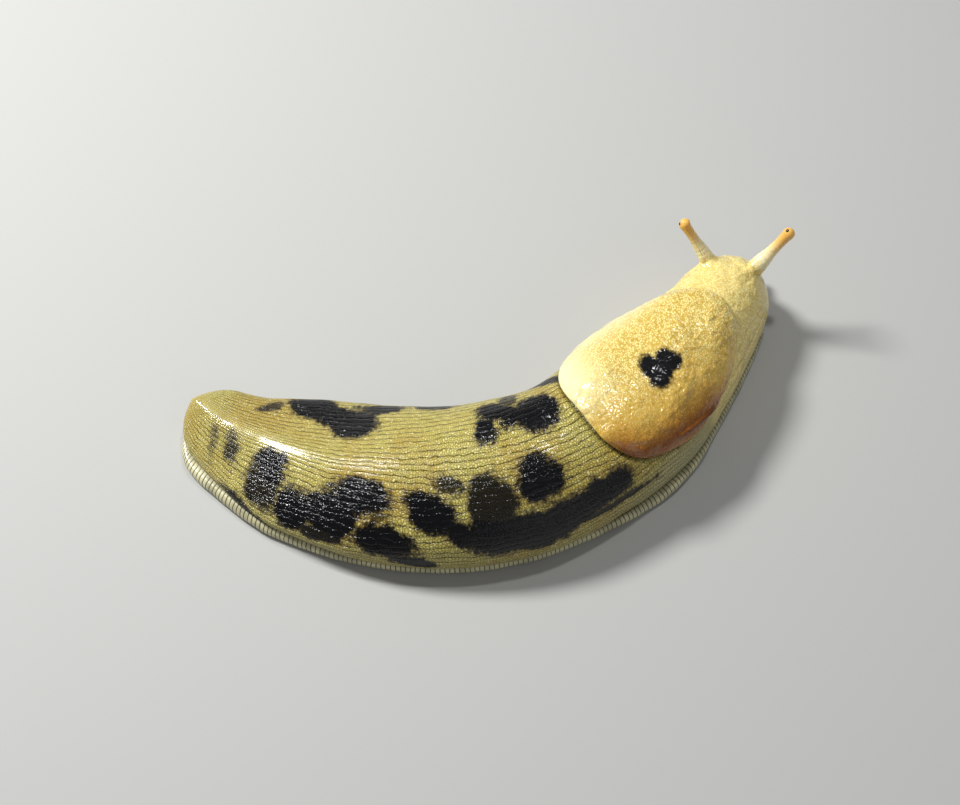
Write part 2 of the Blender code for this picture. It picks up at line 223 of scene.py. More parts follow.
# %% [markdown]
# ## One skin from tail to snout
# A body like this could be a subdivided cage or a voxel remesh of joined balls. A grid is bent
# round it instead, because its columns then run lengthwise, as the furrows of the real skin do,
# and its rings can lie closer on the head. The two long edges of the grid meet in the sole, and
# each end is drawn together into a seam that merging the doubles closes.

# %% Bend a grid into the skin
RINGS = 352
BACK_COLUMNS = 228
SOLE_COLUMNS = 8
FINE_STATIONS = 4001
# how close the rings lie, by station: wide where the mantle hides them, close on the head
CLOSENESS = ((0, 1.1), (12, 1.0), (88, 1.0), (94, 0.55), (112, 0.55), (120, 1.25), (140, 1.3))


def even_stations(count, path, closeness, start=0.0, end=LENGTH):
    """Stations at even distances along path(stations), weighted by closeness."""
    fine = start + (end - start) / 2 * (1 - np.cos(np.linspace(0, np.pi, FINE_STATIONS)))
    run = run_length(path(fine))
    weighted = np.concatenate([[0], np.cumsum(np.diff(run) * smooth(closeness, fine[1:]))])
    return np.interp(np.linspace(0, weighted[-1], count), weighted, fine)


body = bmesh.new()
bmesh.ops.create_grid(body, x_segments=RINGS, y_segments=BACK_COLUMNS + SOLE_COLUMNS, size=1)
flat = np.array([v.co for v in body.verts])
stations = even_stations(RINGS + 1, lambda at: skin(at, 0.5), CLOSENESS)
body_along = stations[grid_step(flat[:, 0], RINGS)]
column = grid_step(flat[:, 1], BACK_COLUMNS + SOLE_COLUMNS)
body_around = np.minimum(column / BACK_COLUMNS, 1)
under = np.clip((column - BACK_COLUMNS) / SOLE_COLUMNS, 0, 1)[:, None]
bent = (1 - under) * skin(body_along, body_around) + under * skin(body_along, 0.0)
body_around = np.where(under[:, 0] > 0.5, 1 - body_around, body_around)
carry(body, along=body_along, around=body_around, stalk=0 * body_around)
move_points(body, bent)
close_up(body)
tell("the skin", body)

# %% [markdown]
# ## Lips under the snout
# Below the snout the real head ends in two soft lobes beside the mouth. They could be joined on
# as balls, but that leaves a crease to smooth away. Skin that lies inside a ball is pushed out
# to its surface instead, as an inflate brush does, so it stays one surface.

# %% Swell the lips
LIP_STATION = LENGTH - 2.4
LIP_SIDE, LIP_HEIGHT = 2.3, 5.1
LIP_SIZE = (2.6, 2.5, 1.9)
LIP_NEAR = 6.0  # points farther off than this stay where they are
CORE, REACH, FADE, SOFTNESS = 0.05, 1.6, 0.3, 0.05  # in sizes of the egg


def swell(bm, middle, sizes, heading):
    """Pushes points out of an egg-shaped space, softly where they meet its surface."""
    to_egg = Matrix.Diagonal([1 / size for size in sizes]) @ Matrix.Rotation(-heading, 3, "Z")
    from_egg = to_egg.inverted()
    moved = 0
    for vert in bm.verts:
        if (vert.co - middle).length > LIP_NEAR:
            continue
        inside = to_egg @ (vert.co - middle)
        reach = inside.length
        if CORE < reach < REACH:
            pushed = 0.5 * (reach + 1 + math.sqrt((reach - 1) ** 2 + SOFTNESS))
            pushed = reach + (pushed - reach) * min(1, (REACH - reach) / FADE)
            vert.co = middle + from_egg @ (inside * pushed / reach)
            moved += 1
    return moved


for side in (1, -1):
    middle = Vector(place_on(LIP_STATION, side * LIP_SIDE, LIP_HEIGHT))
    heading = float(np.interp(LIP_STATION, line_at, line_heading))
    print("lip made of", swell(body, middle, LIP_SIZE, heading), "points")

# %% [markdown]
# ## Tentacles drawn out of the skin
# The two upper tentacles carry the eyes, and two short feelers stand beside the mouth. On the
# animal they are tubes of the same skin, so a separate cone stuck in the head would show its
# joint. A patch of the head's own faces is extruded again and again, each time a little farther
# and in the next radius, which is how a modeller pulls out a limb.

# %% A way to draw out a stalk
PULLED = 3  # flares: how far from its root a stalk pulls the skin along
WITHIN = 0.97  # of the radius, for the points inside the rim of the patch
SQUARE_AT = 0.35  # of the way up, where the rings have come to lie square to the stalk
ROOT_PASSES, ROOT_REACH, ROOT_TOP = 6, 1.4, 0.2  # how often, how far out and up a root is smoothed


def aimed(plan, rise):
    """A direction from its angle in the plan and its angle above the floor, in degrees."""
    plan, rise = math.radians(plan), math.radians(rise)
    return Vector((math.cos(plan) * math.cos(rise), math.sin(plan) * math.cos(rise), math.sin(rise)))


def draw_out(bm, root, aim, radii, patch, flare, pull, step, slim=False):
    """radii are (height, radius) pairs, from the skin to where the round tip starts.

    A slim stalk keeps the uneven outline of its patch, a little inside these radii.
    """
    for vert in bm.verts:
        gone = (vert.co - root).length
        if gone < PULLED * flare:
            vert.co += aim * pull * math.exp(-((gone / flare) ** 2))
    layers = bm.verts.layers.float
    turn, share, level = (layers.get(n) or layers.new(n) for n in ("turn", "share", "level"))
    stalk = layers["stalk"]
    foot = root + aim * pull
    faces = [f for f in bm.faces if (f.calc_center_median() - foot).length < patch]
    chosen = set(faces)
    verts = {v for f in faces for v in f.verts}
    rim = {v for v in verts if any(f not in chosen for f in v.link_faces)}
    one = aim.orthogonal().normalized()
    two = aim.cross(one)
    widest = max(((v.co - foot) - aim * (v.co - foot).dot(aim)).length for v in verts)
    for v in verts:
        away = v.co - foot
        v[level] = away.dot(aim)
        away -= aim * v[level]
        v[turn] = math.atan2(away.dot(two), away.dot(one))
        v[share] = WITHIN * away.length / widest if slim or v not in rim else 1.0
    end, tip = radii[-1]
    rings = max(4, round(end / step))
    for ring in range(1, rings + 1):
        height = end * ring / rings
        radius = float(smooth(radii, height))
        slant = 1 - float(step_up(ring / rings, 0, SQUARE_AT))
        made = bmesh.ops.extrude_face_region(bm, geom=faces)["geom"]
        bmesh.ops.delete(bm, geom=faces, context="FACES")
        faces = [g for g in made if isinstance(g, bmesh.types.BMFace)]
        for v in {v for f in faces for v in f.verts}:
            outward = one * math.cos(v[turn]) + two * math.sin(v[turn])
            v.co = foot + aim * (height + v[level] * slant) + outward * radius * v[share]
            v[stalk] = height / end
    for v in {v for f in faces for v in f.verts}:
        over = v[share] * math.pi / 2
        outward = one * math.cos(v[turn]) + two * math.sin(v[turn])
        v.co = foot + aim * (end + tip * math.cos(over)) + outward * tip * math.sin(over)
        v[stalk] = 1.0
    near = [v for v in bm.verts if (v.co - foot).length < ROOT_REACH * widest and v[stalk] < ROOT_TOP]
    axes = {"use_axis_x": True, "use_axis_y": True, "use_axis_z": True}
    for _ in range(ROOT_PASSES):
        bmesh.ops.smooth_vert(bm, verts=near, factor=0.5, **axes)
    return rings


# %% Draw out the tentacles and the feelers
TENTACLE_STATION, TENTACLE_AROUND = 134.0, 0.14
TENTACLE_AIM = {"left": (150, 51), "right": (24, 52)}
TENTACLE_LENGTH = {"left": 11.5, "right": 12.3}
TENTACLE_SLIM = {"left": True, "right": False}
TENTACLE_PULL, FEELER_PULL = 1.2, 0.5  # how far the skin rises into each root
BULB_RADIUS, UNDER_BULB = 1.28, 1.3
SIDES = {"left": 1, "right": -1}
FEELER_STATION, FEELER_AROUND = LENGTH - 1.1, 0.40
FEELER_SPLAY, FEELER_RISE, FEELER_LENGTH, FEELER_RADIUS = 18, -30, 3.0, 0.8

tentacle_roots = {}
for name, side in SIDES.items():
    root = Vector(skin(TENTACLE_STATION, 0.5 + side * TENTACLE_AROUND))
    aim = aimed(*TENTACLE_AIM[name])
    tentacle_roots[name] = (root, aim)
    neck = TENTACLE_LENGTH[name] - BULB_RADIUS
    end = neck - TENTACLE_PULL
    radii = [(0, 2.0), (0.6, 1.85), (1.6, 1.7), (3.0, 1.45), (0.42 * neck, 1.2), (0.65 * neck, 1.1),
             (end - UNDER_BULB, 1.14), (end, BULB_RADIUS)]
    rings = draw_out(body, root, aim, radii, patch=1.7, flare=2.0, pull=TENTACLE_PULL, step=0.22,
                     slim=TENTACLE_SLIM[name])
    print(name, "tentacle drawn out in", rings, "rings")
for name, side in SIDES.items():
    spot = Vector(skin(FEELER_STATION, 0.5 + side * FEELER_AROUND))
    root = min((v.co for v in body.verts), key=lambda at: (at - spot).length).copy()
    heading = math.degrees(np.interp(FEELER_STATION, line_at, line_heading))
    aim = aimed(heading + side * FEELER_SPLAY, FEELER_RISE)
    end = FEELER_LENGTH - FEELER_PULL - FEELER_RADIUS
    radii = [(0, 1.0), (0.4, 0.86), (1.1, 0.74), (end, FEELER_RADIUS)]
    rings = draw_out(body, root, aim, radii, patch=0.8, flare=0.9, pull=FEELER_PULL, step=0.2)
    print(name, "feeler drawn out in", rings, "rings")

# %% [markdown]
# ## The lie of the skin
# Down the back run wavy furrows, a little over a millimetre apart, that close in on the tail.
# They could be bump alone, but a furrow is a real shape, so the skin is pressed in along them.
# The same row numbers are kept as a UV map, and the material draws its dark lines from them, so
# shape and colour always agree.

# %% Read the skin into arrays
points, normals = read_points(body)
along, around, stalk = carried(body, "along", "around", "stalk")
forget(body, "along", "around", "turn", "share", "level")


def between(value, comes_in, goes_out):
    """1 from the end of one stretch to the start of the other, fading to 0 over each."""
    return step_up(value, *comes_in) * (1 - step_up(value, *goes_out))


def bell(distance, width):
    """1 at no distance, fading to 0 over about width."""
    return np.exp(-((distance / width) ** 2))


def creases(rows):
    """1 in the crease at each whole number, 0 half-way between two."""
    return 1 - np.abs(np.sin(np.pi * rows))


def ripples(places, size, seed):
    """Soft noise from about -1 to 1, with lumps of that size."""
    return np.array([noise.noise(Vector(p) / size + Vector((seed, -seed, 0))) for p in places])


def swellings(places, seed):
    """Soft swellings with sharp creases between them."""
    return np.abs(ripples(places, size=2.6, seed=seed)) - 0.25


def line_on_skin(spots, lift=0.0):
    """Points in space, from (station, way round) pairs."""
    return skin(*np.transpose(spots), lift)


def distance_to(places, line):
    """Millimetres from each place to a line through points."""
    best = np.full(len(places), np.inf)
    for start, end in zip(line, line[1:]):
        step = end - start
        t = np.clip((places - start) @ step / (step @ step), 0, 1)
        best = np.minimum(best, np.linalg.norm(places - start - t[:, None] * step, axis=1))
    return best


def nearness(places, line, width):
    """1 on a line through points, fading to 0 over about width."""
    return bell(distance_to(places, line), width)


edge = np.minimum(around, 1 - around)  # 0 at the sole, 0.5 on the crest
soft_lumps = ripples(points, size=11, seed=3)
small_lumps = ripples(points, size=3.6, seed=7)
print(len(points), "points, with lumps from", soft_lumps.min().round(2), "to",
      soft_lumps.max().round(2))

# %% [markdown]
# ## The edge of the mantle
# The mantle is a saddle of thicker skin over the shoulders, free at its rim like a lid. Its
# outline is a superellipse in the two skin numbers, a rounded oblong in between an oval and a
# box. How far out a spot lies on it, 0 in its middle and 1 on its rim, is also what hollows the
# back just outside the rim, so the lid seems to press into the soft flesh.

# %% The mantle's outline
MANTLE_MIDDLE, MANTLE_REACH, MANTLE_SPREAD, MANTLE_SQUARE = 104.0, 20.0, 0.30, 2.5
RIM_AT, RIM_HOLLOW, UNDER_MANTLE = 1.015, 0.35, 0.5  # place and depth of the hollows in the back


def mantle_out(along, around):
    """0 in the middle of the mantle, 1 on its rim, more beyond."""
    x = np.abs(along - MANTLE_MIDDLE) / MANTLE_REACH
    y = np.abs(around - 0.5) / MANTLE_SPREAD
    return (x**MANTLE_SQUARE + y**MANTLE_SQUARE) ** (1 / MANTLE_SQUARE)


def forward(along, out):
    """0 at the rear and sides of the mantle, 1 at its front, where it runs into the neck."""
    ahead = (along - MANTLE_MIDDLE) / MANTLE_REACH / np.maximum(out, 0.01)
    return step_up(ahead, 0.1, 0.75)


out = mantle_out(along, around)
front = forward(along, out)
hollow = -RIM_HOLLOW * (1 - front) * bell(out - RIM_AT, 0.03)
hollow -= UNDER_MANTLE * (1 - step_up(out, 0.93, 1.0 - 0.02 * front))
print("the back is hollowed by up to", -hollow.min().round(2), "mm")

# %% [markdown]
# ## Furrows and folds
# Between furrows the skin swells in ridges. On the neck they turn to a few long soft folds, and
# the head is finely lumpy, with a shallow valley between the tentacles. They could be sculpted one
# by one. Each kind is a small move along the normals instead, and the moves are added up.

# %% Press them in
ROWS, ROW_SWING, ROW_WAVER = 40, 0.55, 0.3
FURROW_DEPTH, FOLD_DEPTH, CRUMPLE_HEIGHT, CROWN_DEPTH, SLEEVE_HEIGHT = 0.07, 0.22, 0.22, 0.35, 0.03
# the stations between which each kind of relief comes in, or goes out
FURROWS_IN, FURROWS_OUT, FOLDS_IN, FOLDS_OUT = (0.5, 6), (88, 108), (92, 108), (124, 134)
CRUMPLES_IN, HEAD_IN, CROWN_IN, CROWN_OUT = (104, 118), (118, 128), (127, 133), (136, 139)
# the wet film lies thick along the keel of the tail and fills the furrows there
KEEL_LINE = ((0.8, 0.55), (6.3, 0.545), (13.9, 0.5), (20.7, 0.49), (28.0, 0.463))
KEEL_WIDTH, KEEL_OUT = 1.5, (22, 32)
filmed = nearness(points, line_on_skin(KEEL_LINE), KEEL_WIDTH) * (1 - step_up(along, *KEEL_OUT))
row = (around - 0.5) * ROWS + ROW_SWING * soft_lumps + ROW_WAVER * small_lumps
furrowed = between(along, FURROWS_IN, FURROWS_OUT)
uneven = 0.75 + 0.5 * ripples(points, size=6, seed=11)
furrows = -FURROW_DEPTH * furrowed * creases(row) ** 3 * uneven * (1 - 0.9 * filmed)
neck_side = between(along, FOLDS_IN, FOLDS_OUT) * (1 - step_up(edge, 0.2, 0.34))
long_folds = -FOLD_DEPTH * neck_side * creases(0.45 * row + 0.4 * soft_lumps) ** 2
lumps = 0.16 * soft_lumps + 0.08 * small_lumps
lumps += 0.05 * step_up(along, *HEAD_IN) * ripples(points, size=1.2, seed=19)
# the neck and the head are crumpled
lumps += CRUMPLE_HEIGHT * step_up(along, *CRUMPLES_IN) * swellings(points, seed=53)
crown = -CROWN_DEPTH * bell(around - 0.5, 0.05) * between(along, CROWN_IN, CROWN_OUT)
# fine rings on the tentacles, which shorten like a sleeve
sleeve = (stalk > 0) * np.sin(stalk * 60 + 2 * small_lumps) * (1 - step_up(stalk, 0.8, 0.95))
move = (furrows + long_folds + lumps + crown + hollow) * (stalk == 0) + SLEEVE_HEIGHT * sleeve
points = points + normals * move[:, None]
print("deepest furrow", furrows.min().round(2), "mm, deepest fold", long_folds.min().round(2), "mm")

# %% [markdown]
# ## The mouth
# The mouth is an arch over two soft lips, with a parting between them, just under the feelers.
# It could be carved with a brush. Here it is a relief: a height for every place on the face, by
# which the front of the snout moves forwards or back.

# %% Shape the mouth
ARCH_TOP, ARCH_DROP, ARCH_ENDS = 6.7, 0.12, (3.6, 5.2)  # its height, its fall and its ends
CREASE_WIDTH, CREASE_DEPTH, PARTING_FOOT = 0.3, 0.6, (2.4, 3.4)
LIP_BULGE, UPPER_LIP_BULGE, WRINKLE_DEPTH = 0.75, 0.22, 0.12
heading = line_heading[-1]
to_front = np.array([math.cos(heading), math.sin(heading), 0.0])
to_left = np.array([-math.sin(heading), math.cos(heading), 0.0])
beside = (points - place_on(LENGTH, 0.0, 0.0)) @ to_left
above_arch = points[:, 2] - (ARCH_TOP - ARCH_DROP * beside**2)
on_face = step_up(normals @ to_front, 0.1, 0.5) * (along > LENGTH - 8) * (stalk == 0)
narrow = 1 - step_up(np.abs(beside), *ARCH_ENDS)
mouth = bell(above_arch, CREASE_WIDTH) * narrow
parting = bell(beside, CREASE_WIDTH) * step_up(points[:, 2], *PARTING_FOOT) * (above_arch < 0)
lips = bell(np.abs(beside) - 1.9, 1.4) * bell(points[:, 2] - 4.5, 1.3)
upper_lip = bell(above_arch - 0.9, 0.5) * narrow
wrinkles = (1 - np.abs(np.sin(2.6 * beside + small_lumps))) ** 2 * bell(above_arch - 1.7, 1.2)
relief = LIP_BULGE * lips + UPPER_LIP_BULGE * upper_lip - WRINKLE_DEPTH * wrinkles
relief -= CREASE_DEPTH * (mouth + parting)
points += to_front * (on_face * relief)[:, None]
# the mouth's crease and parting, which are painted dark as shade
lip_crease_shade = on_face * np.maximum(mouth, parting)
move_points(body, points)
print("the lips stand out by up to", (on_face * relief).max().round(2), "mm")

# %% [markdown]
# ## Where the markings lie
# Black blotches are scattered over the back, dense along the right flank. Painting them on an
# image would fix their edges at one size. Each is an oval given by its place, its size and its
# turn, and the skin carries how deep inside an oval each point is. The material frays that edge
# with noise, finer than any mesh.

# %% The blotches
# (station, way round, half length, half width, turn in degrees, darkness)
BLOTCHES = (
    (16.8, 0.77, 1.9, 0.9, 17, 0.8), (24.9, 0.79, 5.6, 2.7, -12, 1), (31.0, 0.73, 4.0, 2.4, -14, 1),
    (35.3, 0.695, 5.4, 3.4, -17, 1), (40.0, 0.80, 5.5, 1.7, 2, 1), (54.2, 0.81, 4.6, 1.8, -3, 1),
    (76.5, 0.60, 5.3, 4.4, 24, 1), (67.9, 0.66, 4.3, 2.9, -25, 1), (64.6, 0.575, 3.0, 2.2, 82, 1),
    (72.5, 0.72, 3.6, 2.0, 60, 0.8), (70.5, 0.62, 3.0, 2.7, 60, 1), (83.5, 0.775, 5.5, 2.3, -40, 1),
    (14.1, 0.32, 2.1, 1.5, -52, 0.8), (9.9, 0.29, 1.3, 0.6, -61, 0.65),
    (22.9, 0.33, 3.4, 3.2, -39, 1), (22.7, 0.235, 3.8, 2.3, -20, 0.93),
    (20.5, 0.08, 4.3, 1.5, -10, 0.95), (30.2, 0.215, 4.0, 2.9, -2, 1),
    (37.2, 0.235, 5.0, 4.1, -9, 1), (41.6, 0.33, 5.6, 2.8, 0, 1), (35.8, 0.165, 4.9, 1.8, 3, 0.95),
    (45.0, 0.275, 1.4, 0.8, -5, 0.7), (46.7, 0.185, 5.0, 3.0, -13, 1),
    (51.3, 0.10, 3.6, 1.6, -29, 1), (54.1, 0.295, 4.8, 2.9, -34, 1),
    (56.8, 0.40, 2.5, 1.4, -17, 0.86), (63.7, 0.32, 5.3, 3.7, -74, 0.93),
    (72.0, 0.365, 4.1, 3.8, -80, 1), (59.0, 0.22, 4.2, 1.9, -40, 1),
    (63.8, 0.205, 5.0, 4.1, -61, 1), (69.1, 0.185, 5.6, 4.2, -29, 1),
    (74.5, 0.205, 5.0, 3.6, 13, 1), (80.4, 0.23, 4.7, 2.8, -3, 1), (84.1, 0.245, 2.2, 1.6, -64, 1),
    (82.7, 0.155, 6.0, 0.8, 0, 0.9), (27.0, 0.93, 3.2, 2.2, 10, 1), (46.0, 0.905, 4.6, 2.6, -8, 1),
    (62.5, 0.90, 3.4, 2.6, 20, 1), (72.0, 0.88, 4.4, 2.1, 12, 1), (36.5, 0.885, 1.5, 1.1, 0, 0.8),
    (88.0, 0.90, 3.0, 1.5, 5, 0.9),
)
MANTLE_BLOTCHES = (
    (100.6, 0.478, 2.3, 2.0, 39, 1), (104.0, 0.456, 2.4, 2.0, -25, 1),
    (99.6, 0.432, 1.8, 1.6, 0, 1), (101.5, 0.456, 2.4, 2.1, 0, 1),
)
FAR_OUT = -9.0  # millimetres, where no oval is near


def blotch_depth(ovals, along, around):
    """(millimetres inside the nearest oval, below 0 outside; that oval's darkness)"""
    depth, darkness = np.full(len(along), FAR_OUT), np.ones(len(along))
    reach = girth(along)
    for at, way, half_long, half_wide, turn, dark in ovals:
        x, y = along - at, (around - way) * reach
        turn = math.radians(turn)
        u = (x * math.cos(turn) + y * math.sin(turn)) / half_long
        v = (y * math.cos(turn) - x * math.sin(turn)) / half_wide
        inside = (1 - np.hypot(u, v)) * math.sqrt(half_long * half_wide)
        darkness = np.where(inside > depth, dark, darkness)
        depth = np.maximum(depth, inside)
    return depth, darkness


depth, darkness = blotch_depth(BLOTCHES, along, around)
print(f"{np.mean(depth > 0):.0%} of the skin is blotched")

# %% [markdown]
# ## Handing the numbers to the materials
# A shader can read any number that a mesh carries at its points. The zones are made here, where
# the stations are known: how much a spot belongs to the head, to a tentacle, to the pale flank,
# and how much painted shade it takes in a crease or under the mantle's rim.

# %% Write zones and rows into the skin


def lay_out(bm, name, across_values, up_values):
    """A UV map from two numbers a point."""
    layer = bm.loops.layers.uv.new(name)
    bm.verts.index_update()
    for face in bm.faces:
        for loop in face.loops:
            k = loop.vert.index
            loop[layer].uv = (across_values[k], up_values[k])


def finished(bm, name):
    """The mesh as an object at the origin, in metres, shaded smooth."""
    bmesh.ops.scale(bm, vec=(MM, MM, MM), verts=bm.verts)
    mesh = bpy.data.meshes.new(name)
    bm.to_mesh(mesh)
    bm.free()
    mesh.shade_smooth()
    made = bpy.data.objects.new(name, mesh)
    bpy.context.scene.collection.objects.link(made)
    triangles = sum(len(p.vertices) - 2 for p in mesh.polygons)
    print(f"{name}: {triangles} triangles")
    return made


SHEEN_LINE, SHEEN_WIDTH = ((66.0, 0.56), (71.0, 0.62), (77.5, 0.60)), 3.2  # one wet blotch glitters
HEAD_ZONE, FLANK_TOP, FLANK_RISES, FLANK_RISE = (96, 109), (0.06, 0.2), (84, 94), 0.07
PALE_IN, PALE_OUT, SHADE_IN, SHADE_OUT = (76, 92), (100, 110), (92, 98), (108, 116)
head_zone = step_up(along + 5 * small_lumps + 30 * (edge - 0.2), *HEAD_ZONE)
low_flank = 1 - step_up(edge - FLANK_RISE * step_up(along, *FLANK_RISES), *FLANK_TOP)
pale = low_flank * (0.3 + 0.7 * step_up(along, *PALE_IN)) * (1 - step_up(along, *PALE_OUT))
# painted shade on the back, in a band just outside the mantle's rim where the lid overhangs
rim_shade = bell(out - RIM_AT, 0.025) * (out > 0.98) * (1 - front)
right_rim_shade = rim_shade * (around < 0.5) * between(along, SHADE_IN, SHADE_OUT)
# painted shade: dark brown in the creases under the mantle's right rim, in the mouth and in its parting
fold = np.maximum(right_rim_shade, 0.85 * lip_crease_shade)
smoothed = np.maximum(filmed, step_up(stalk, 0.05, 0.3))
sheen = nearness(points, line_on_skin(SHEEN_LINE), SHEEN_WIDTH)
carry(body, depth=depth, darkness=darkness, head=head_zone, stalk=stalk, pale=pale, fold=fold,
      furrowed=furrowed, rim=rim_shade, smoothed=smoothed, sheen=sheen)
lay_out(body, "Rows", along, row)
hide = finished(body, "skin")

# %% [markdown]
# ## The mantle
# The lid is a few tenths of a millimetre thick at its front, thicker at its free rear edge, and
# covered in grains half a millimetre wide, each one a small dome. A flat grid is first eased
# into a disc, so its points stay evenly spread, and then laid on the back. Its outer edges are
# extruded round and under to make the rolled rim, and the last loop is merged to one point.

# %% Lay a grid over the shoulders
MANTLE_GRID = 284
MANTLE_EDGE, MANTLE_THICK, MANTLE_GAP, FRONT_SINK = 0.8, 2.1, 0.05, 0.22
# how far out, and at what share of the edge's height, the rim goes round and under
RIM_PROFILE = ((1.006, 0.92), (1.013, 0.74), (1.018, 0.5), (1.016, 0.26), (1.006, 0.08),
               (0.985, 0.0), (0.93, -0.1))
UNDERSIDE = -0.2


def mantle_spot(out, turn):
    """(station, way round) of a spot, from how far out and in which direction it lies."""
    power = 2 / MANTLE_SQUARE
    lengthwise = np.sign(np.cos(turn)) * np.abs(np.cos(turn)) ** power
    sideways = np.sign(np.sin(turn)) * np.abs(np.sin(turn)) ** power
    out = out * (1 + 0.006 * np.sin(5 * turn + 1) + 0.004 * np.sin(11 * turn + 2))
    return MANTLE_MIDDLE + out * MANTLE_REACH * lengthwise, 0.5 + out * MANTLE_SPREAD * sideways


def edge_height(front):
    return MANTLE_EDGE * (1 - front)


mantle = bmesh.new()
bmesh.ops.create_grid(mantle, x_segments=MANTLE_GRID, y_segments=MANTLE_GRID, size=1)
square = np.array([v.co for v in mantle.verts])
disc_x = square[:, 0] * np.sqrt(1 - square[:, 1] ** 2 / 2)
disc_y = square[:, 1] * np.sqrt(1 - square[:, 0] ** 2 / 2)
carry(mantle, out=np.hypot(disc_x, disc_y), turn=np.arctan2(disc_y, disc_x), lift=1 + 0 * disc_x)
out_layer, lift_layer = (mantle.verts.layers.float[name] for name in ("out", "lift"))
rim_edges = [e for e in mantle.edges if e.is_boundary]
for out_at, share in RIM_PROFILE:
    made = bmesh.ops.extrude_edge_only(mantle, edges=rim_edges)["geom"]
    rim_edges = [g for g in made if isinstance(g, bmesh.types.BMEdge) and g.is_boundary]
    for vert in {v for e in rim_edges for v in e.verts}:
        vert[out_layer], vert[lift_layer] = out_at, share
made = bmesh.ops.extrude_edge_only(mantle, edges=rim_edges)["geom"]
last = [g for g in made if isinstance(g, bmesh.types.BMVert)]
for vert in last:
    vert[out_layer], vert[lift_layer] = 0.0, UNDERSIDE
out, turn, share = carried(mantle, "out", "turn", "lift")
along, around = mantle_spot(out, turn)
top_side = share == 1.0
front = forward(along, out) * step_up(out, 0.1, 0.5)
crown_height = edge_height(front) + (MANTLE_THICK - edge_height(front)) * rounding(1 - out, 0.55)
lift = np.where(top_side, crown_height, edge_height(front) * share) + MANTLE_GAP
lift -= FRONT_SINK * front * step_up(out, 0.93, 1.0)
points = skin(along, around, lift)
move_points(mantle, points)
bmesh.ops.pointmerge(mantle, verts=last, merge_co=Vector(points[last[0].index]))
bmesh.ops.recalc_face_normals(mantle, faces=mantle.faces)
tell("the mantle", mantle)

# %% [markdown]
# ## The breathing slit and the grains
# On the right side, just above the rim, lies the slit that the slug breathes through, with a
# rolled lower lip. A Boolean cut would leave a hard edge in soft flesh, so the slit is pressed
# in along a line and the lip is raised beside it. The grains come from cells of noise: the
# middle of each cell stands up, and the joints between cells stay low.

# %% Press in the slit and raise the grains
SLIT = ((94.5, 0.258), (98.0, 0.250), (101.0, 0.241), (104.0, 0.228), (106.5, 0.213), (109.0, 0.203))
SLIT_LIP = ((94.5, 0.232), (98.0, 0.226), (101.0, 0.218), (104.0, 0.207), (106.0, 0.198))
# the line from which the mantle's gold deepens to amber: partly its own colour, partly painted shade on
# its shaded right side
AMBER_BAND = ((86.0, 0.32), (88.0, 0.285), (91.0, 0.262), *SLIT, (114.0, 0.215))
GRAIN_SIZE, GRAIN_HEIGHT = 0.44, 0.035
SLIT_WIDTH, SLIT_DEPTH, SLIT_IN, SLIT_OUT = 0.42, 0.7, (93.5, 98.0), (103.0, 109.0)
LIP_WIDTH, LIP_RISE = 0.7, 0.28


def joints(places, size):
    """0 in the joints between cells of noise, 1 over the middle of each cell."""
    near, next_near = np.array([noise.voronoi(Vector(p) / size)[0][:2] for p in places]).T
    return step_up(next_near - near, 0.0, 0.5)


points, normals = read_points(mantle)
out, turn, share = carried(mantle, "out", "turn", "lift")
forget(mantle, "out", "turn", "lift")
along, around = mantle_spot(out, turn)
tapered = between(along, SLIT_IN, SLIT_OUT)
slit = nearness(points, line_on_skin(SLIT, MANTLE_EDGE + 0.7), SLIT_WIDTH) * tapered
lower_lip = nearness(points, line_on_skin(SLIT_LIP, MANTLE_EDGE + 0.3), LIP_WIDTH) * tapered
on_top = step_up(share, 0.3, 1.0)
grain = joints(points, GRAIN_SIZE)
grain_height = GRAIN_HEIGHT * on_top * (0.7 + 0.5 * ripples(points, size=3, seed=23))
soft_lumps, small_lumps = ripples(points, size=7, seed=31), ripples(points, size=1.7, seed=37)
crumple_height = 0.12 + 0.16 * step_up(along, 100, 116)  # more of it towards the head
lumps = 0.14 * soft_lumps + 0.06 * small_lumps + crumple_height * swellings(points, seed=59)
move = grain_height * (grain - 0.5) + lumps * on_top
move += LIP_RISE * lower_lip - SLIT_DEPTH * slit
points = points + normals * move[:, None]
move_points(mantle, points)
from_slit = distance_to(points, line_on_skin(AMBER_BAND, MANTLE_EDGE + 0.5))
from_slit += 3.5 * step_up(along, 106, 113)
# the rear corner's thin free edge is pale of itself; the left side, which faces the light, is painted
# pale as a highlight
lit_left_side = 0.8 * step_up(around, 0.6, 0.78)
rear_corner = step_up(-np.cos(turn), 0.1, 0.8) * step_up(around, 0.42, 0.6) * step_up(out, 0.35, 0.95)
pale = np.maximum(lit_left_side, rear_corner)
depth, darkness = blotch_depth(MANTLE_BLOTCHES, along, around)
# the slit is painted dark as shade, through the same crease number
carry(mantle, depth=depth, darkness=darkness, grain=grain, from_slit=from_slit, pale=pale, fold=slit)
lid = finished(mantle, "mantle_skin")

# %% [markdown]
# ## The foot and its fringe
# The slug rests on one flat sole. Its edge stands out below the flank as a pale fringe with fine
# ribs across it. A plain slab would do for the sole, but the fringe is seen from every side. So
# a grid is wrapped into a closed loop of columns, with the rounded rim spelled out as insets and
# heights, and the ribs are pressed into the rim only. The underside stays exactly flat.

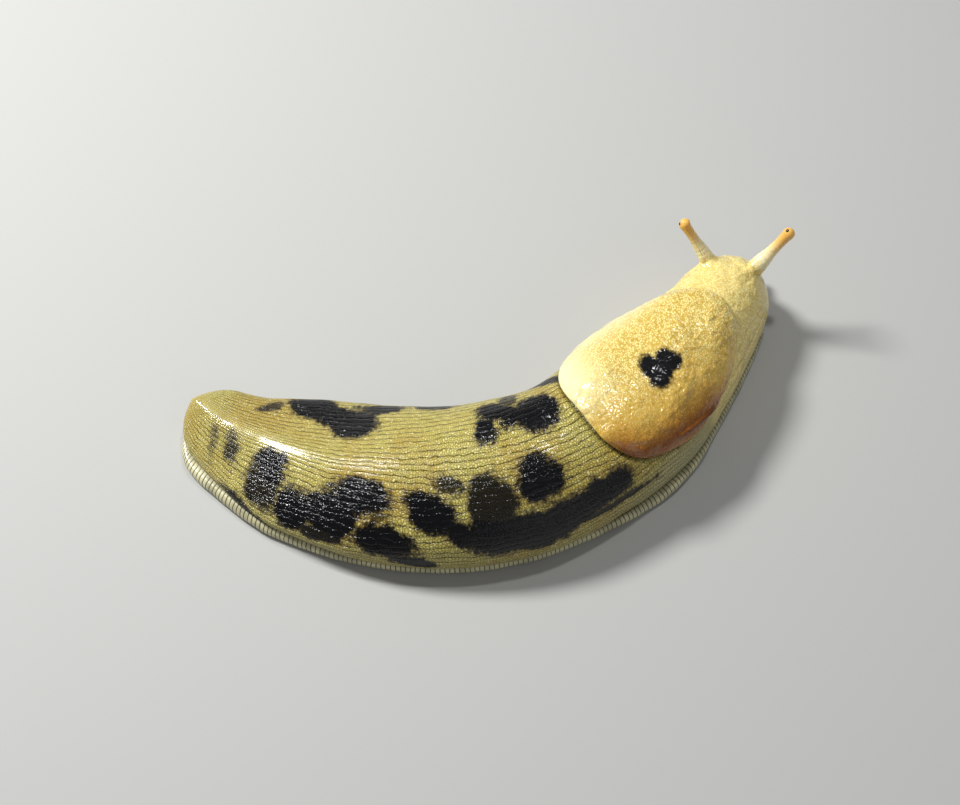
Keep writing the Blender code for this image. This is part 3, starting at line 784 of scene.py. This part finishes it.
# %% Wrap a grid into the foot
FRINGE = ((0, 0.9), (11, 2.0), (28, 1.4), (52, 0.4), (72, 0.3), (93, 2.0), (106, 1.2), (140, 0.6))
FOOT_BACK, FOOT_FRONT = 1.3, 136.5  # a little short of the body's ends
RIM_INSET = ((0, 1.1), (1, 0.35), (2, 0.0), (3, 0.05), (4, 0.5), (5, 1.3), (6, 3.6))
RIM_HEIGHT = ((0, 0.0), (1, 0.3), (2, 1.0), (3, 1.7), (4, 2.35), (5, FOOT_THICK), (6, FOOT_THICK))
FOOT_RINGS, RIM_COLUMNS, UNDER_COLUMNS = 940, 18, 6
RIB_PITCH, RIB_DEPTH, RIM_WANDER = 0.95, 0.05, 0.16


def foot_reach(along):
    """Half the width of the foot at a station."""
    ends = rounding(along - FOOT_BACK, TAIL_ROUND) * rounding(FOOT_FRONT - along, TAIL_ROUND)
    return (smooth(HALF_WIDTH, along) * math.cos(TUCK) + smooth(FRINGE, along)) * ends


def rim_line(along, side):
    return place_on(along, side * foot_reach(along), 1.0)


# once round the section: the share of the half width, and how far up the rim, of each column
up_rim = np.linspace(0, 6, RIM_COLUMNS + 1)
under_share = np.linspace(-1, 1, UNDER_COLUMNS + 1)[:-1]
shares = np.concatenate([under_share, np.ones(RIM_COLUMNS + 1), -np.ones(RIM_COLUMNS + 1)])
up = np.concatenate([0 * under_share, up_rim, up_rim[::-1]])
columns = len(shares) - 1
foot = bmesh.new()
bmesh.ops.create_grid(foot, x_segments=FOOT_RINGS, y_segments=columns, size=1)
flat = np.array([v.co for v in foot.verts])
foot_stations = even_stations(FOOT_RINGS + 1, lambda at: rim_line(at, -1), ((0, 1), (LENGTH, 1)),
                              FOOT_BACK, FOOT_FRONT)
ring, column = grid_step(flat[:, 0], FOOT_RINGS), grid_step(flat[:, 1], columns)
along, share, up_at = foot_stations[ring], shares[column], up[column]
reach = foot_reach(along)
inset = np.minimum(np.minimum(1, reach / 3) * smooth(RIM_INSET, up_at), 0.7 * reach)
side = share * (reach - inset)
points = place_on(along, side, smooth(RIM_HEIGHT, up_at))
wander = ripples(points, size=4, seed=41)
runs = [run_length(rim_line(foot_stations, way)) for way in (-1, 1)]
run = np.where(share > 0, runs[1][ring], runs[0][ring]) + 0.25 * wander
rib = creases(run / RIB_PITCH) ** 3
on_rim = (np.abs(share) == 1) * between(up_at, (0.6, 1.6), (5.0, 6.0)) * np.minimum(1, reach / 2)
side -= np.sign(share) * on_rim * (RIB_DEPTH * rib + RIM_WANDER * wander)
on_top = step_up(up_at, 4.0, 5.0)
points = place_on(along, side, smooth(RIM_HEIGHT, up_at) - 0.8 * RIB_DEPTH * rib * on_rim * on_top)
move_points(foot, points)
# the flank meets the foot this far in, and from there the rim is painted dark as shade under the flank
flank = smooth(FRINGE, along) - np.sign(share) * smooth(LEAN, along)
tucked = step_up(inset - flank, -0.7, 0.1) * step_up(up_at, 3.0, 5.0) * (np.abs(share) == 1)
carry(foot, tucked=tucked, rim=on_rim)
lay_out(foot, "Ribs", run / RIB_PITCH, up_at)
close_up(foot)
tell("the foot", foot)
fringe = finished(foot, "foot_skin")

# %% [markdown]
# ## The eyes
# Each eye is a black bead, less than a millimetre wide, set in the tip of a tentacle. It stays a
# piece of its own, so it can be glossier and deeper in colour than the skin round it.

# %% Set the eye beads
EYE_RADIUS, EYE_SUNK = 0.45, 0.35
EYE_SIDE = {"left": (-1.0, -0.35, 0.0), "right": (-0.73, -0.22, 0.64)}
eyes = {}
for name, (root, aim) in tentacle_roots.items():
    look = (0.6 * aim + Vector(EYE_SIDE[name]).normalized()).normalized()
    middle = root + aim * (TENTACLE_LENGTH[name] - BULB_RADIUS) + look * (BULB_RADIUS - EYE_SUNK)
    bead = bmesh.new()
    bmesh.ops.create_uvsphere(bead, u_segments=32, v_segments=20, radius=EYE_RADIUS)
    bmesh.ops.translate(bead, vec=middle, verts=bead.verts)
    eyes[name] = finished(bead, "eye_bead_" + name)

# %% [markdown]
# ## Ways to write a material
# A material is a tree of nodes, and trees written out by hand grow long. A few helpers keep them
# readable: one adds a node and wires its inputs, and others do the sums, noises and mixes that
# come up again and again. Effects that several skins share go in node groups, with named sockets,
# and each material only mixes them.

# %% Helpers for node trees
SOCKETS = {"value": "NodeSocketFloat", "place": "NodeSocketVector"}


def wire(tree, node, inputs):
    """Each input is a (socket, value) pair. The value may be another node's output."""
    for socket, value in inputs:
        if isinstance(value, bpy.types.NodeSocket):
            tree.links.new(value, node.inputs[socket])
        else:
            node.inputs[socket].default_value = value
    return node


def put(tree, kind, inputs=(), **settings):
    """A new node of one of the shader kinds, with its inputs wired."""
    made = tree.nodes.new("ShaderNode" + kind)
    for key, value in settings.items():
        setattr(made, key, value)
    return wire(tree, made, inputs)


def sum_up(tree, operation, *values):
    """The result of one piece of arithmetic."""
    return put(tree, "Math", enumerate(values), operation=operation).outputs[0]


def times(tree, one, other):
    return sum_up(tree, "MULTIPLY", one, other)


def rest(tree, share):
    """What a share leaves of 1."""
    return sum_up(tree, "SUBTRACT", 1.0, share)


def wave(tree, rows):
    """0 at each whole number, 1 half-way between two."""
    return sum_up(tree, "ABSOLUTE", sum_up(tree, "SINE", times(tree, rows, math.pi)))


def scaled(tree, value, by, plus):
    """value times by, plus a number."""
    return sum_up(tree, "MULTIPLY_ADD", value, by, plus)


def noise_at(tree, place, scale, detail):
    """Soft noise about a half. scale is its lumps to the metre."""
    pairs = (("Vector", place), ("Scale", scale), ("Detail", detail))
    return put(tree, "TexNoise", pairs).outputs["Fac"]


def ramp(tree, value, low, high, start=0.0, end=1.0):
    """start below low, end above high, eased between."""
    pairs = ((0, value), (1, low), (2, high), (3, start), (4, end))
    return put(tree, "MapRange", pairs, interpolation_type="SMOOTHSTEP").outputs[0]


def mixed(tree, share, one, other):
    """One colour where share is 0, the other where it is 1."""
    pairs = ((0, share), (6, one), (7, other))
    return put(tree, "Mix", pairs, data_type="RGBA").outputs[2]


def number(tree, name):
    """A number that the mesh carries."""
    return put(tree, "Attribute", attribute_name=name).outputs["Fac"]


def to_linear(part):
    share = part / 255
    return share / 12.92 if share < 0.0404 else ((share + 0.055) / 1.055) ** 2.4


def paint(red, green, blue):
    """A colour as picked on a screen, brought to linear light."""
    return (to_linear(red), to_linear(green), to_linear(blue), 1.0)


def group(name, inputs, outputs):
    """An empty node group, with its inside ends."""
    tree = bpy.data.node_groups.new(name, "ShaderNodeTree")
    for label, kind in inputs:
        tree.interface.new_socket(label, in_out="INPUT", socket_type=SOCKETS[kind])
    for label, kind in outputs:
        tree.interface.new_socket(label, in_out="OUTPUT", socket_type=SOCKETS[kind])
    return tree, tree.nodes.new("NodeGroupInput").outputs, tree.nodes.new("NodeGroupOutput").inputs


def use(tree, shared, **inputs):
    """A group's outputs, with its inputs wired by name."""
    return wire(tree, put(tree, "Group", node_tree=shared), inputs.items()).outputs


# %% [markdown]
# ## Furrows and grains
# The back's pattern is finer than its mesh. Rows come from the map laid on the skin: a sine of
# the row number gives the furrows, exactly where the mesh dips. Between furrows, cells of noise
# laid along the row break each ridge into grains. The second group gives plain round grains in
# space, for the head, where there are no rows. The third gives fine ripples, with patches of
# coarser crumples that catch the light in clusters, as wet skin does on the head and the mantle.

# %% Group: furrows
LINE_SHARPNESS = 3.7
CELL_LENGTH, CELLS_IN_ROW = 0.46, 2.6  # millimetres along the row, and cells across it
furrow_group, given, result = group(
    "Furrows", (("Rows", "place"), ("Place", "place")),
    (("Groove", "value"), ("Dome", "value"), ("Shade", "value")))
t = furrow_group
jitter = noise_at(t, given["Place"], 700.0, 3.0)
parts = put(t, "SeparateXYZ", ((0, given["Rows"]),)).outputs
row_at = sum_up(t, "ADD", parts["Y"], scaled(t, jitter, 0.9, -0.45))
line = sum_up(t, "POWER", rest(t, wave(t, row_at)), LINE_SHARPNESS)
breaks = noise_at(t, given["Place"], 420.0, 1.0)
t.links.new(times(t, line, ramp(t, breaks, 0.3, 0.5, 0.35, 1.0)), result["Groove"])
cell_x, cell_y = sum_up(t, "DIVIDE", parts["X"], CELL_LENGTH), times(t, row_at, CELLS_IN_ROW)
cell_place = put(t, "CombineXYZ", ((0, cell_x), (1, cell_y))).outputs[0]
spread = (("Vector", cell_place), ("Scale", 1.0), ("Randomness", 0.9))
borders = put(t, "TexVoronoi", spread, voronoi_dimensions="2D", feature="DISTANCE_TO_EDGE").outputs
t.links.new(ramp(t, borders["Distance"], 0.0, 0.42), result["Dome"])
cells = put(t, "TexVoronoi", spread, voronoi_dimensions="2D").outputs
t.links.new(put(t, "SeparateColor", ((0, cells["Color"]),)).outputs[0], result["Shade"])

# %% Group: grains
grain_group, given, result = group(
    "Grains", (("Place", "place"), ("Size", "value")), (("Dome", "value"),))
t = grain_group
scale = sum_up(t, "DIVIDE", 1000.0, given["Size"])
cells = put(t, "TexVoronoi", (("Vector", given["Place"]), ("Scale", scale))).outputs
t.links.new(ramp(t, cells["Distance"], 0.12, 0.72, 1.0, 0.0), result["Dome"])

# %% Group: crumples
RIPPLE_HEIGHT, CALM_HEIGHT, CRUMPLED_HEIGHT = 4.0, 2.0, 22.0
crumple_group, given, result = group("Crumples", (("Place", "place"),), (("Relief", "value"),))
t = crumple_group
ripple = noise_at(t, given["Place"], 1100.0, 1.0)
crumple = noise_at(t, given["Place"], 430.0, 1.5)
cluster = noise_at(t, given["Place"], 95.0, 1.0)
crumple = times(t, crumple, ramp(t, cluster, 0.42, 0.62, CALM_HEIGHT, CRUMPLED_HEIGHT))
t.links.new(scaled(t, ripple, RIPPLE_HEIGHT, crumple), result["Relief"])

# %% [markdown]
# ## Dark markings
# The skin carries how deep each point lies in a blotch. Noise of two sizes is added to that
# depth before it is cut off, so the edge is ragged at a glance and fuzzy close up. A second,
# wider cut gives the brownish edge that the black pigment fades through.

# %% Group: blotches
BROAD_FRAY, FINE_FRAY = 3.8, 2.6  # millimetres between an edge's farthest in and farthest out
blotch_group, given, result = group(
    "Blotches", (("Place", "place"), ("Depth", "value"), ("Darkness", "value")),
    (("Black", "value"), ("Brown", "value")))
t = blotch_group
broad = noise_at(t, given["Place"], 330.0, 3.0)
fine = noise_at(t, given["Place"], 1500.0, 2.0)
frayed = scaled(t, broad, BROAD_FRAY, -BROAD_FRAY / 2)
frayed = sum_up(t, "ADD", frayed, scaled(t, fine, FINE_FRAY, -FINE_FRAY / 2))
frayed = sum_up(t, "ADD", frayed, given["Depth"])
black = ramp(t, frayed, -0.7, 0.6)
t.links.new(times(t, black, given["Darkness"]), result["Black"])
t.links.new(times(t, ramp(t, frayed, -1.5, 0.2), given["Darkness"]), result["Brown"])

# %% [markdown]
# ## The back skin
# Wet slug skin is soft flesh under a clear film. Light goes a little way in, so there is some
# scattering below the surface, and the film is a smooth clear coat over it. The colour starts
# from olive in the furrows and pale gold on the ridges, with a few cream grain tops that are
# partly painted glints, and dark furrow lines deepened with painted shade. The zones that the mesh
# carries turn it golden on the head, cream to amber up the tentacles, the cream partly a painted
# highlight, and pale low on the flank, with painted shade in the creases and by the mantle's rim.

# %% Material: back skin


def material(name, *settings):
    """A new material with its tree and its Principled node, which has these inputs set."""
    made = bpy.data.materials.new(name)
    made.use_nodes = True
    tree = made.node_tree
    return made, tree, wire(tree, tree.nodes["Principled BSDF"], settings)


def wet_skin(name, roughness, coat, glow):
    """A material set up as wet flesh."""
    return material(name, ("Roughness", roughness), ("IOR", 1.38), ("Subsurface Weight", glow),
                    ("Subsurface Radius", (0.9, 0.6, 0.25)), ("Subsurface Scale", 0.0012),
                    ("Coat Weight", coat), ("Coat Roughness", 0.07), ("Coat IOR", 1.33))


def marked(tree, colour, blotch, brown_share):
    """The colour with its blotches, and painted shade in its creases, laid over it."""
    colour = mixed(tree, times(tree, blotch["Brown"], brown_share), colour, BROWN)
    colour = mixed(tree, blotch["Black"], colour, BLACK)
    return mixed(tree, number(tree, "fold"), colour, CREASE_SHADE)


def raised(tree, flesh, height, strength, distance):
    bump = put(tree, "Bump", (("Height", height), ("Strength", strength), ("Distance", distance)))
    tree.links.new(bump.outputs[0], flesh.inputs["Normal"])


GAP, RIDGE, GOLD = paint(146, 130, 52), paint(216, 207, 120), paint(194, 156, 66)
# LINE is the dark of the furrows, pigment deepened by painted shade; it also paints the shade by the
# mantle's rim
LINE, CREAM_AND_GLINT = paint(40, 33, 12), paint(242, 234, 170)
PALE_FLANK, FLANK_LINE = paint(208, 204, 156), paint(152, 142, 88)
GRAIN_TOP, GRAIN_GAP = paint(246, 232, 160), paint(202, 168, 72)
STALK_PALE_AND_HIGHLIGHT, STALK_TIP = paint(250, 236, 186), paint(240, 186, 92)
# BLACK and BROWN are the blotches' pigment; the crease colour is painted shade
BLACK, BROWN, CREASE_SHADE = paint(6, 6, 7), paint(48, 30, 22), paint(76, 38, 12)

back_skin, t, flesh = wet_skin("back skin", roughness=0.24, coat=0.12, glow=0.3)
place = put(t, "TexCoord").outputs["Object"]
rows = put(t, "UVMap", uv_map="Rows").outputs[0]
smoothed, sheen = number(t, "smoothed"), number(t, "sheen")
head_share, stalk_share = number(t, "head"), number(t, "stalk")
furrow = use(t, furrow_group, Rows=rows, Place=place)
grains = use(t, grain_group, Place=place, Size=0.42)
blotch = use(t, blotch_group, Place=place, Depth=number(t, "depth"), Darkness=number(t, "darkness"))
patchy = noise_at(t, place, 60.0, 3.0)
ridge = mixed(t, ramp(t, patchy, 0.42, 0.66, 0.0, 0.85), RIDGE, GOLD)
# some grain tops turn cream: partly pale grains, partly painted glints of the wet film
ridge = mixed(t, ramp(t, furrow["Shade"], 0.6, 1.0, 0.0, 0.7), ridge, CREAM_AND_GLINT)
back = mixed(t, furrow["Dome"], GAP, ridge)
head = mixed(t, ramp(t, grains["Dome"], 0.0, 1.0, 0.4, 0.95), GRAIN_GAP, GRAIN_TOP)
colour = mixed(t, head_share, back, head)
colour = mixed(t, number(t, "pale"), colour, mixed(t, furrow["Dome"], FLANK_LINE, PALE_FLANK))
# the furrow lines are the skin's dark pigment, deepened with painted shade in the grooves
lines = times(t, furrow["Groove"], number(t, "furrowed"))
colour = mixed(t, lines, colour, LINE)
# painted shade along the mantle's rim, in the furrows' dark colour
colour = mixed(t, times(t, number(t, "rim"), 0.7), colour, LINE)
# up the tentacles, cream at the shaft fading to amber at the tip; the cream is partly painted highlight
# of the wet film
tube = mixed(t, ramp(t, stalk_share, 0.25, 0.95), STALK_PALE_AND_HIGHLIGHT, STALK_TIP)
colour = mixed(t, ramp(t, stalk_share, 0.0, 0.25), colour, tube)
t.links.new(marked(t, colour, blotch, 0.75), flesh.inputs["Base Color"])
back_height = sum_up(t, "SUBTRACT", times(t, furrow["Dome"], 0.7), lines)
head_height = times(t, grains["Dome"], 0.12)
height = put(t, "Mix", ((0, head_share), (2, back_height), (3, head_height))).outputs[0]
crumples = use(t, crumple_group, Place=place)["Relief"]
height = scaled(t, crumples, times(t, head_share, 0.5), height)
height = times(t, height, scaled(t, smoothed, -0.85, 1.0))
height = times(t, height, scaled(t, blotch["Black"], -0.5, 1.0))
raised(t, flesh, height, strength=0.9, distance=0.00012)
# black skin has no wet film but on one glittering blotch; the keel and the tentacles shine
dull = times(t, blotch["Black"], rest(t, sheen))
film = scaled(t, sheen, -0.1, 0.24)
t.links.new(scaled(t, dull, -0.07, film), flesh.inputs["Roughness"])
coat = scaled(t, smoothed, 0.8, 0.15)
t.links.new(times(t, coat, rest(t, dull)), flesh.inputs["Coat Weight"])
hide.data.materials.append(back_skin)

# %% [markdown]
# ## The mantle's skin
# The mantle is a brighter gold, with pale tops on its grains and orange-brown in the joints. The
# mesh carries the same grains that shaped it, so the colour is read from them. Towards the slit
# and the right rim it deepens to amber, partly its own colour and partly painted shade on that
# shaded side, with dark painted shade in the slit. At the rear the thin free edge is pale, and the
# left side is painted pale as a highlight.

# %% Material: mantle skin
GOLDEN, AMBER, AMBER_GAP = paint(214, 172, 70), paint(200, 138, 34), paint(156, 98, 20)
UMBER_AND_SHADE, PALE_RIM_AND_HIGHLIGHT = paint(128, 68, 10), paint(248, 240, 186)

mantle_skin, t, flesh = wet_skin("mantle skin", roughness=0.15, coat=0.35, glow=0.5)
flesh.inputs["IOR"].default_value = 1.5  # its wet film is thick and bright
place = put(t, "TexCoord").outputs["Object"]
grain, from_slit = number(t, "grain"), number(t, "from_slit")
specks = use(t, grain_group, Place=place, Size=0.3)
blotch = use(t, blotch_group, Place=place, Depth=times(t, number(t, "depth"), 2.0),
             Darkness=number(t, "darkness"))
colour = mixed(t, ramp(t, grain, 0.0, 0.9), GRAIN_GAP, GRAIN_TOP)
# towards the slit and the right rim the gold deepens to amber and umber: partly the mantle's own
# colour, partly painted shade on its shaded side and in the slit
colour = mixed(t, ramp(t, from_slit, 3.0, 17.0, 0.75, 0.0), colour, GOLDEN)
amber = mixed(t, ramp(t, grain, 0.1, 0.8), AMBER_GAP, AMBER)
colour = mixed(t, ramp(t, from_slit, 1.0, 7.5, 0.9, 0.0), colour, amber)
colour = mixed(t, ramp(t, from_slit, 0.3, 3.4, 0.85, 0.0), colour, UMBER_AND_SHADE)
# pale: the pale free edge at the rear, and a painted highlight on the left side
colour = mixed(t, times(t, number(t, "pale"), 0.85), colour, PALE_RIM_AND_HIGHLIGHT)
t.links.new(marked(t, colour, blotch, 0.7), flesh.inputs["Base Color"])
crumples = use(t, crumple_group, Place=place)["Relief"]
height = scaled(t, specks["Dome"], 0.12, crumples)
raised(t, flesh, height, strength=0.8, distance=0.00006)
lid.data.materials.append(mantle_skin)

# %% [markdown]
# ## The sole and the eyes
# The fringe is cream, crossed by a fine dark line at each rib, with painted shade where it tucks under
# the flank. The sole below is plain, pale and wet. The eyes are nearly black and polished.

# %% Materials: sole skin and eye
FRINGE_CREAM, RIB_LINE, TUCKED_SHADE = paint(212, 206, 164), paint(38, 36, 24), paint(56, 50, 28)

sole_skin, t, flesh = wet_skin("sole skin", roughness=0.28, coat=0.12, glow=0.15)
place = put(t, "TexCoord").outputs["Object"]
stain = noise_at(t, place, 260.0, 2.0)
base = mixed(t, ramp(t, stain, 0.35, 0.7, 0.0, 0.35), FRINGE_CREAM, RIB_LINE)
wander = noise_at(t, place, 700.0, 2.0)
across_ribs = put(t, "SeparateXYZ", ((0, put(t, "UVMap", uv_map="Ribs").outputs[0]),)).outputs["X"]
rib = rest(t, wave(t, scaled(t, wander, 0.3, across_ribs)))
rib = times(t, ramp(t, rib, 0.45, 0.95), number(t, "rim"))
colour = mixed(t, rib, base, RIB_LINE)
# painted shade where the rim tucks under the flank
colour = mixed(t, number(t, "tucked"), colour, TUCKED_SHADE)
t.links.new(colour, flesh.inputs["Base Color"])
fringe.data.materials.append(sole_skin)

eye_black = material("eye", ("Base Color", paint(16, 13, 12)), ("Roughness", 0.12),
                     ("Coat Weight", 0.6), ("Coat Roughness", 0.03))[0]
for eye in eyes.values():
    eye.data.materials.append(eye_black)

# %% [markdown]
# ## What each piece stands for
# The solids stay in the file for measuring and simulation. One skin stands for every length of
# back, neck and head with the tentacles and feelers, so no cut shows in the flesh.

# %% Take over from the solids
pieces = (
    (hide, "back_skin", ("tail", "back_rear", "back_middle", "back_front", "neck", "head",
                         "tentacle_left", "tentacle_right", "feeler_left", "feeler_right")),
    (lid, "mantle_skin", ("mantle",)),
    (fringe, "sole_skin", ("foot_tail", "foot_rear", "foot_middle", "foot_front", "foot_neck")),
    (eyes["left"], "eye_black", ("eye_left",)),
    (eyes["right"], "eye_black", ("eye_right",)),
)
for piece, slot, nodes in pieces:
    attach(piece, "root")
    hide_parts(*nodes)
    print(piece.name, "stands for", len(nodes), "solids")

# %% [markdown]
# ## A small studio
# Flesh reads best under one large soft light from the side and behind, which draws the wet
# highlights along the back, with a weak fill so that the near flank keeps its colour. A small
# weak lamp overhead adds the sparkle on the wet skin of the mantle and the head. The camera looks
# down steeply, as one would at an animal on the ground.

# %% Floor, lights, world and camera
FLOOR_SIZE = 0.6
# (name, direction, distance and size in metres, power in watts)
LAMPS = (
    ("key", Vector((-0.62, 0.38, 0.85)), 0.6, 0.14, 4.4),
    ("glint", Vector((0.15, 0.24, 0.96)), 0.6, 0.04, 0.7),
    ("fill", Vector((0.5, -0.8, 0.45)), 0.7, 0.5, 0.4),
)
AIM_POINT = Vector((-0.0017, 0.004, 0.0))
CAMERA_PLACE, CAMERA_LENS = Vector((-0.0017, -0.1763, 0.3)), 64.3

sheet = bmesh.new()
bmesh.ops.create_grid(sheet, x_segments=1, y_segments=1, size=FLOOR_SIZE / MM)
floor = finished(sheet, "floor")
grey = material("floor grey", ("Base Color", (0.46, 0.46, 0.44, 1)), ("Roughness", 0.8))[0]
floor.data.materials.append(grey)
for name, direction, away, size, power in LAMPS:
    lamp = bpy.data.lights.new(name, "AREA")
    lamp.shape, lamp.size, lamp.energy = "DISK", size, power
    made = bpy.data.objects.new(name, lamp)
    made.location = AIM_POINT + direction.normalized() * away
    made.rotation_euler = direction.to_track_quat("Z", "Y").to_euler()
    bpy.context.scene.collection.objects.link(made)
world = bpy.data.worlds.new("studio")
world.use_nodes = True
sky = world.node_tree.nodes["Background"].inputs
sky["Color"].default_value = (0.9, 0.93, 1.0, 1)
sky["Strength"].default_value = 0.2
bpy.context.scene.world = world
bpy.context.scene.view_settings.view_transform = "Standard"
camera = bpy.data.objects.new("camera", bpy.data.cameras.new("camera"))
camera.data.lens = CAMERA_LENS
camera.data.clip_start = 0.01
camera.location = CAMERA_PLACE
camera.rotation_euler = (AIM_POINT - CAMERA_PLACE).to_track_quat("-Z", "Y").to_euler()
bpy.context.scene.collection.objects.link(camera)
bpy.context.scene.camera = camera
